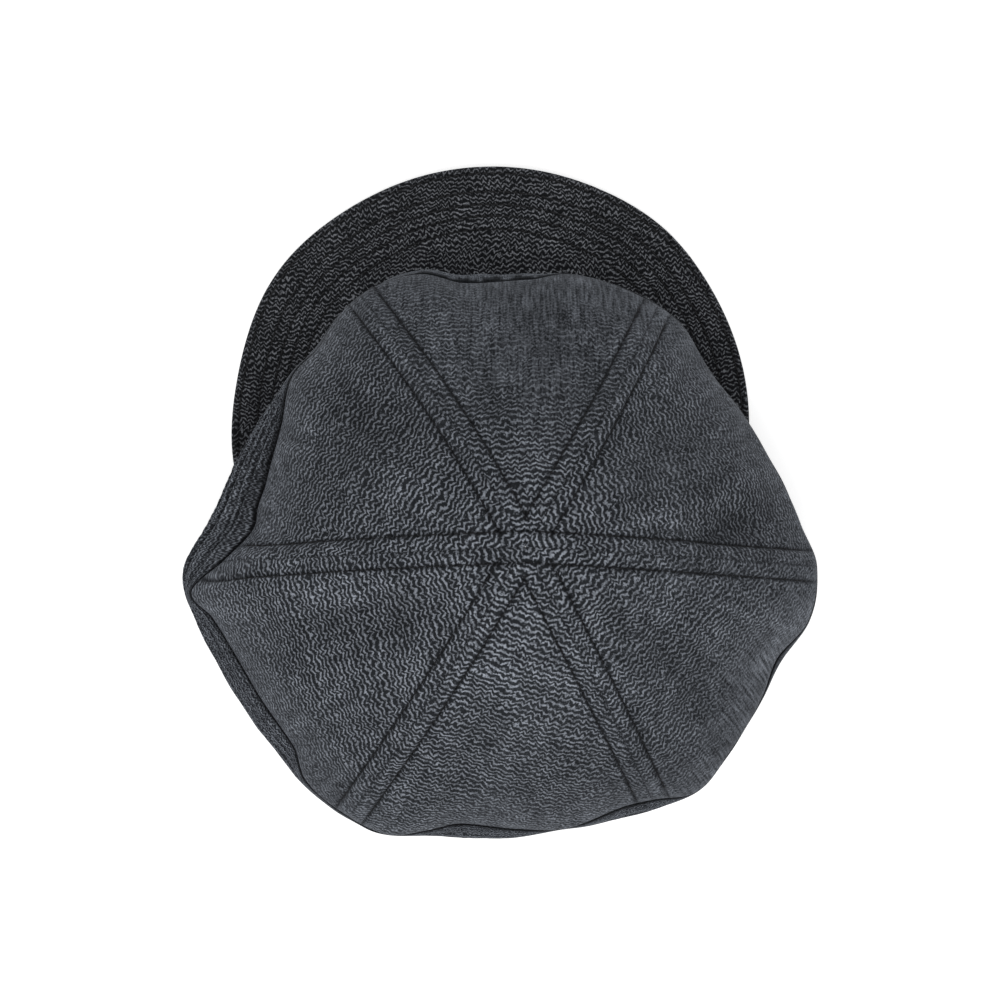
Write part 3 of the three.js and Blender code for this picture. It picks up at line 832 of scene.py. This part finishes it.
def side_crown():
    # The columns lie closer together where the long folds run.
    folded = np.linspace(-34, 14, 190, endpoint=False)
    plain = np.linspace(14, 326, 370, endpoint=False)
    degrees = np.concatenate([folded, plain])
    sections = [side_section(angle) for angle in degrees]
    outer = np.stack([section[0][0] for section in sections], axis=1)
    normals = np.stack([section[0][1] for section in sections], axis=1)
    rows = outer.shape[0]
    share = (np.arange(rows) / upper_rows)[:, None]
    under = np.clip((np.arange(rows) - upper_rows) / lower_rows, 0, 1)[:, None]
    turn = np.radians(degrees)[None, :]
    left_front = bump_at(angle_between(degrees, 345), 20)[None, :]
    slack = ease(side_puff * around_rim("puff", degrees) / 0.008)[None, :]
    slack = slack * (0.4 + 0.6 * left_front)
    creased = np.zeros(outer.shape[:2])
    for place, depth, phase in side_folds:
        drawn = place + 0.05 * np.sin(3 * turn + phase) + 0.02 * np.sin(13 * turn + phase)
        creased = creased + depth * slack * bump_at(share - drawn, side_fold_half_width)
        creased = creased - 0.15 * depth * slack * bump_at(share - drawn - 0.08, 0.05)
    flecks = np.sin(turn * 173 + 5 * np.sin(turn * 9)) * np.sin(share * 19 + 4 * np.sin(turn * 31))
    gathers = np.sin(turn * 47 + 4 * np.sin(turn * 6)) + 0.6 * np.sin(turn * 89)
    relief = 0.0004 * gathers * np.sin(math.pi * under) + 0.00015 * flecks * slack - creased
    relief = relief + 0.0003 * waves(outer[..., 0], outer[..., 1] + outer[..., 2], 0.02, 21)
    edge = np.minimum(np.arange(rows) / 5, (rows - 1 - np.arange(rows)) / 3)[:, None]
    outer = outer + normals * (relief * ease(edge))[..., None]
    inner = outer - normals * cloth_wall
    inner[0] = outer[0] + mitres(degrees)
    outward = np.stack([section[1] for section in sections])
    inner[-1] = outer[-1] - outward * cloth_wall
    # Painted light and shade on the side crown: painted shade at the left front, in the shadow of
    # the crown's bulge, and at the right back, and a painted sheen over the brow.
    brow = ease(1 - np.abs(angle_between(degrees, 277)) / 20)[None, :]
    right_back = bump_at(angle_between(degrees, 143), 18)[None, :]
    shade = 1.08 - 0.2 * left_front + 0.4 * brow - 0.6 * right_back
    # Painted shade in the hollows of the long folds, and painted light and shade over the small
    # flecks of relief.
    tone = shade * np.exp(-620 * creased - 0.25 * flecks * slack)

    # Right under the rim seam a line of painted shade runs round in the crease of the seam, wider
    # and broken into dashes over the brow.
    step = np.linalg.norm(np.diff(outer, axis=0, prepend=outer[:1]), axis=2)
    dashes = 0.5 * np.sin(turn * 61 + 2) + 0.55 * np.sin(turn * 143 + 3 * np.sin(turn * 23))
    dashes = 1 + brow * dashes
    width = (0.0012 + 0.0012 * left_front + 0.0016 * brow) * np.maximum(dashes, 0.3)
    line = (np.cumsum(step, axis=0) / width) ** 2
    tone = tone * (1 - 0.9 * bump_at(line, 1))
    nap = np.broadcast_to(0.15 + 0.55 * brow, tone.shape)
    wall = once_round(outer, inner)
    marks = {"nap": [once_round(nap, nap)], "tone": [once_round(tone, tone)]}
    new_piece(
        "side_crown_cloth", [wall], [girth_place(wall, 0.05) * side_closeness], marks,
        True, crown_cloth, ["side_crown"],
    )


side_crown()

# The crown is top-stitched in black cotton: two rows for each seam, one each side of the join.
# The rows of the seam that runs from side to side go straight through the middle, and those of
# the four slanting seams stop against them.
thread_colour = (0.006, 0.006, 0.007)
stitch_pitch = 0.0030
stitch_length = 0.0025
thread_radius = 0.00036
stitch_rings = 5
stitch_sides = 6

# How far out the rows go, as a share of the way from apex to rim.
row_end = 0.975


def thread_finish(name, colour):
    """Spun cotton thread: matt, twisted, with a faint shine."""
    material = bpy.data.materials.new(name)
    material.use_nodes = True
    nodes = material.node_tree.nodes
    links = material.node_tree.links
    shader = nodes["Principled BSDF"]
    where = nodes.new("ShaderNodeTexCoord")
    twist = nodes.new("ShaderNodeTexNoise")
    twist.inputs["Scale"].default_value = 900.0
    links.new(where.outputs["Object"], twist.inputs["Vector"])
    tint = nodes.new("ShaderNodeMix")
    tint.data_type = "RGBA"
    links.new(twist.outputs["Fac"], tint.inputs[0])
    tint.inputs[6].default_value = (*[0.6 * c for c in colour], 1)
    tint.inputs[7].default_value = (*[1.8 * c for c in colour], 1)
    links.new(tint.outputs[2], shader.inputs["Base Color"])
    shader.inputs["Roughness"].default_value = 0.7
    shader.inputs["Specular IOR Level"].default_value = 0.2
    return material


def sewn_row(points, normals):
    """Stitches along a path: each a short curved length of thread that dips in at its ends."""
    steps = np.linalg.norm(np.diff(points, axis=0), axis=1)
    length = np.concatenate([[0], np.cumsum(steps)])
    rings = []
    for start in np.arange(stitch_pitch / 2, length[-1] - stitch_length, stitch_pitch):
        at = start + np.linspace(0, 1, stitch_rings) * stitch_length
        centre = np.stack([np.interp(at, length, points[:, k]) for k in range(3)], axis=1)
        up = unit(np.stack([np.interp(at, length, normals[:, k]) for k in range(3)], axis=1))
        ahead = unit(np.gradient(centre, axis=0))
        side = np.cross(ahead, up)
        swell = np.sin(np.linspace(0.12, 0.88, stitch_rings) * math.pi)
        centre = centre + up * (swell[:, None] - 0.75) * thread_radius * 1.1
        turn = np.linspace(0, 2 * math.pi, stitch_sides, endpoint=False)
        thick = thread_radius * (0.55 + 0.45 * swell)[:, None, None]
        circle = side[:, None] * np.cos(turn)[:, None] + up[:, None] * np.sin(turn)[:, None]
        rings.append(centre[:, None] + circle * thick)
    return rings


def sew(name, rows, material, nodes):
    """Makes one piece of all the stitches in a list of rows."""
    points = []
    faces = []
    for ring in rows:
        start = len(points)
        count = ring.shape[1]
        points.extend(ring.reshape(-1, 3))
        for i in range(ring.shape[0] - 1):
            for j in range(count):
                a = start + i * count + j
                b = start + i * count + (j + 1) % count
                faces.append((a, b, b + count, a + count))
        faces.append(tuple(start + j for j in reversed(range(count))))
        last = start + (ring.shape[0] - 1) * count
        faces.append(tuple(last + j for j in range(count)))
    mesh = bpy.data.meshes.new(name)
    shift = np.array([band_centre.x, band_centre.y, 0])
    mesh.from_pydata(np.array(points) + shift, [], faces)
    lay_on_cap(name, mesh, material, nodes)


def on_crown(x, y):
    """The crown's surface and its normal, groove and all, over a point of the plan."""
    degrees = np.degrees(np.arctan2(y - apex.y, x - apex.x))
    share = np.hypot(x - apex.x, y - apex.y) / rim_radius(degrees)
    share = np.clip(share, 0.004, 0.985)
    normal = top_normal(degrees, share)
    at_rim = ease((1 - share) * rim_radius(degrees) / rim_fade)
    base = top_point(degrees, share)
    relief = top_relief(degrees, share, base) * at_rim
    return base + normal * relief[..., None], normal


def seam_rows():
    """The twin rows beside every seam, each from its inner end to just short of the rim."""
    rings = []
    for seam in seams:
        for side in (-1, 1):
            inner_end = 0.0002 if runs_through(seam) else stitch_offset + 0.001
            share = np.linspace(inner_end / rim_radius(seam["angle"]), row_end, 400)
            angle = np.radians(seam_angle(seam, share))
            radius = share * rim_radius(seam["angle"])
            x = apex.x + radius * np.cos(angle) - side * stitch_offset * np.sin(angle)
            y = apex.y + radius * np.sin(angle) + side * stitch_offset * np.cos(angle)
            degrees = np.degrees(np.arctan2(y - apex.y, x - apex.x))
            out = np.hypot(x - apex.x, y - apex.y) / rim_radius(degrees)
            inside = out < row_end
            points, normals = on_crown(x[inside], y[inside])
            rings.extend(sewn_row(points, normals))
    return rings


black_thread = thread_finish("black_thread", thread_colour)
crown_nodes = ["crown_panel_" + seam["panel"] for seam in seams]
sew("crown_stitches", seam_rows(), black_thread, crown_nodes)

# The peak is a short, wide crescent: two layers of the same cloth, darker in this cut, over a
# thin stiffener. Rows of stitches run round it, parallel to its rounded edge. It is arched over
# the brow and sewn to the front of the headband.
peak_low, peak_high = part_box("peak")
peak_radius = (peak_high.x - peak_low.x) / 2
peak_centre_y = peak_low.y - band_centre.y + peak_radius
peak_wall = 0.0036
peak_droop = 0.003
peak_rows = (0.0028, 0.0104, 0.0156, 0.0204, 0.0257)
peak_end = 0.0025
root_lap = 0.0008
peak_groove = 0.00045
peak_groove_half_width = 0.0007
peak_grid = (440, 108)

# Each layer thins towards the edge, which is rounded over.
edge_thinning = 0.0009
thinning_width = 0.01
edge_rounding = 0.0014

peak_cloth = woven_cloth(
    "peak_weave",
    dark=(0.0052, 0.0056, 0.0066),
    light=(0.142, 0.148, 0.162),
    row_pitch=1.95,
    zigzag=2.9,
    slopes=(0.65, 1.2),
    open_at=0.46,
    full_at=1.05,
    napped=0.2,
    seed=5,
)


def peak_reach(angle):
    """The peak's edge from the middle of its curve: a circle, a bit fuller at the shoulders."""
    degrees = np.degrees(angle)
    left = 0.0024 * bump_at(angle_between(degrees, 325), 18)
    left = left + 0.0016 * bump_at(angle_between(degrees, 8), 14)
    right = 0.0014 * bump_at(angle_between(degrees, 229), 14)
    tip = -0.0003 * bump_at(angle_between(degrees, 272), 16)
    return peak_radius + left + right + tip


def peak_surface(swing, share):
    """The peak's middle sheet, at a swing from -1 to 1 and a share from its root to its edge."""
    outline_end = math.acos((band_half_width + peak_end) / peak_radius)
    root_end = math.asin((peak_centre_y + peak_radius * math.sin(outline_end)) / band_half_length)
    root_angle = -math.pi / 2 + swing * (math.pi / 2 + root_end)
    edge_angle = -math.pi / 2 + swing * (math.pi / 2 + outline_end)
    root_x = (band_half_width - root_lap) * np.cos(root_angle)
    root_y = (band_half_length - root_lap) * np.sin(root_angle)
    reach = peak_reach(edge_angle)
    x = mix(root_x, reach * np.cos(edge_angle), share)
    y = mix(root_y, peak_centre_y + reach * np.sin(edge_angle), share)
    lift = arch_lift(x, np.minimum(y, 0))
    return x, y, lift * (1 - peak_droop * share / band_arch) + peak_wall / 2


def peak():
    swing = np.linspace(-1, 1, peak_grid[0])[None, :]
    share = (1 - (1 - np.linspace(0, 1, peak_grid[1])) ** 1.25)[:, None]
    x, y, middle = peak_surface(swing, share)
    from_edge = peak_reach(np.arctan2(y - peak_centre_y, x)) - np.hypot(x, y - peak_centre_y)
    half = peak_wall / 2 - edge_thinning * ease(1 - from_edge / thinning_width)
    rounded = 1 - (1 - from_edge / edge_rounding).clip(0, 1) ** 2
    half = half * np.sqrt(np.clip(rounded, 0.02, 1))
    groove = np.zeros_like(x)
    for inset in peak_rows:
        groove = groove + peak_groove * bump_at(from_edge - inset, peak_groove_half_width)
    quilting = 0.00018 * waves(x, y, 0.012, 41)
    upper = middle + half - groove + quilting
    lower = middle - np.minimum(half, middle - 0.00005) + groove * (middle > 0.003)
    top = np.stack([x, y, upper], axis=2)
    bottom = np.stack([x, y, lower], axis=2)
    place = np.stack([x, y], axis=2) * 1000
    nap = 0.12 * ease(1 - from_edge / 0.004)
    # Painted light towards the root, against the crown's shadow, and a thin painted highlight
    # along the rounded edge.
    tone = 0.92 + 0.2 * bump_at(from_edge, 0.0006) + 0.45 * ease(from_edge / 0.035)
    # Painted shade in the grooves of the stitch rows.
    shade = 1 - 0.75 * np.sum([bump_at(from_edge - inset, 0.0005) for inset in peak_rows], axis=0)
    tone = tone * shade
    new_piece(
        "peak_cloth", both_faces(top, bottom), both_faces(place, place),
        {"nap": both_faces(nap, nap), "tone": both_faces(tone, tone)},
        False, peak_cloth, ["peak"],
    )


thread_sink = 0.0004


def peak_stitches():
    """Rows parallel to the edge, each as far round as it stays clear of the headband."""
    rings = []
    for inset in peak_rows:
        angle = np.linspace(-math.pi, 0, 1400)
        x = (peak_reach(angle) - inset) * np.cos(angle)
        y = peak_centre_y + (peak_reach(angle) - inset) * np.sin(angle)
        to_band = np.hypot(x / band_half_width, y / band_half_length) - 1
        kept = (to_band > 0.012) & (y < -0.012)
        x, y = x[kept], y[kept]
        lift = arch_lift(x, np.minimum(y, 0))
        root = np.hypot(x / band_half_width, y / band_half_length) - 1
        far = np.clip(root * band_half_length / (root * band_half_length + inset), 0, 1)
        z = lift * (1 - peak_droop * far / band_arch) + peak_wall
        z = z - edge_thinning * ease(1 - inset / thinning_width) - thread_sink
        points = np.stack([x, y, z], axis=1)
        normals = np.tile([0.0, 0.0, 1.0], (len(points), 1))
        rings.extend(sewn_row(points, normals))
    return rings


peak()
peak_thread_colour = (0.009, 0.009, 0.01)
dark_thread = thread_finish("peak_thread", peak_thread_colour)
sew("peak_stitches", peak_stitches(), dark_thread, ["peak"])

# The cap lies on a plain, nearly white table. A broad soft light hangs above it, and a weaker one
# stands to one side.
floor_mesh = bpy.data.meshes.new("floor")
floor_mesh.from_pydata([(-3, -3, 0), (3, -3, 0), (3, 3, 0), (-3, 3, 0)], [], [(0, 1, 2, 3)])
floor = bpy.data.objects.new("floor", floor_mesh)
bpy.context.scene.collection.objects.link(floor)
floor_paint = bpy.data.materials.new("floor_paint")
floor_paint.use_nodes = True
floor_shader = floor_paint.node_tree.nodes["Principled BSDF"]
floor_shader.inputs["Base Color"].default_value = (0.85, 0.85, 0.85, 1)
floor_shader.inputs["Roughness"].default_value = 1.0
floor_shader.inputs["Emission Color"].default_value = (1, 1, 1, 1)
floor_shader.inputs["Emission Strength"].default_value = 0.5
floor_mesh.materials.append(floor_paint)


def soft_light(name, place, size, watts, aim):
    lamp = bpy.data.lights.new(name, "AREA")
    lamp.energy = watts
    lamp.size = size
    holder = bpy.data.objects.new(name, lamp)
    holder.location = place
    holder.rotation_euler = (Vector(aim) - Vector(place)).to_track_quat("-Z", "Y").to_euler()
    bpy.context.scene.collection.objects.link(holder)


soft_light("overhead", (0.2, 0.5, 1.7), 1.3, 20, (0, 0, 0))
soft_light("side", (-1.5, -0.9, 1.3), 1.2, 7, (0, 0, 0.05))
world = bpy.data.worlds.new("studio")
world.use_nodes = True
world.node_tree.nodes["Background"].inputs["Color"].default_value = (1, 1, 1, 1)
world.node_tree.nodes["Background"].inputs["Strength"].default_value = 0.5
bpy.context.scene.world = world
bpy.context.scene.view_settings.view_transform = "Standard"

# The camera looks straight down from above the table, a little off the middle of the headband,
# with the peak at the top of the picture.
camera_height = 1.6
camera_lens = 140.5
camera_side = -0.0033
camera_back = -0.0167
camera_data = bpy.data.cameras.new("camera")
camera_data.sensor_width = 36
camera_data.lens = camera_lens
camera = bpy.data.objects.new("camera", camera_data)
camera.location = (band_centre.x + camera_side, band_centre.y + camera_back, camera_height)
camera.rotation_euler = (0, 0, math.pi)
bpy.context.scene.collection.objects.link(camera)
bpy.context.scene.camera = camera
